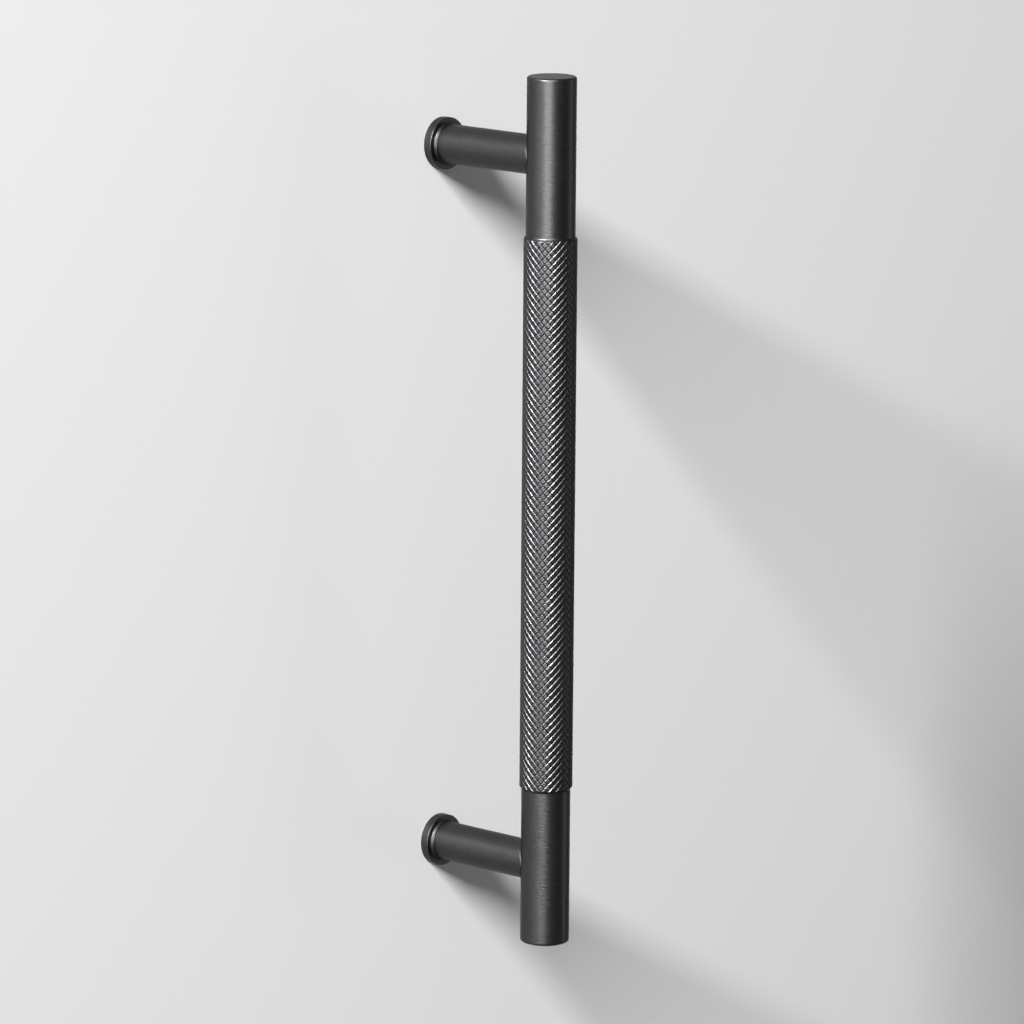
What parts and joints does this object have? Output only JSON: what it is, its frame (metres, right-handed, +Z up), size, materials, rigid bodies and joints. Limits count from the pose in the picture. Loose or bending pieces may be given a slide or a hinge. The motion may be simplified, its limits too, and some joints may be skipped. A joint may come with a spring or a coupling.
{
  "type": "cabinet pull",
  "caption": "Straight bar cabinet pull with a diamond-knurled grip, plain ends and round posts with stepped feet, fixed by screws from behind the door.",
  "frame": {"origin": "on the door face, midway between the two screw holes", "axes": "+Z up along the bar, +Y into the door, the pull stands off the door towards -Y"},
  "size_m": [0.012, 0.0384, 0.1958],
  "materials": {
    "graphite_metal": "satin dark graphite plating on solid brass",
    "stud_steel": "plain zinc-plated steel"
  },
  "bodies": {
    "root": {"bar": "graphite_metal", "upper_post": "graphite_metal", "lower_post": "graphite_metal", "upper_stud": "stud_steel", "lower_stud": "stud_steel"}
  },
  "joints": []
}
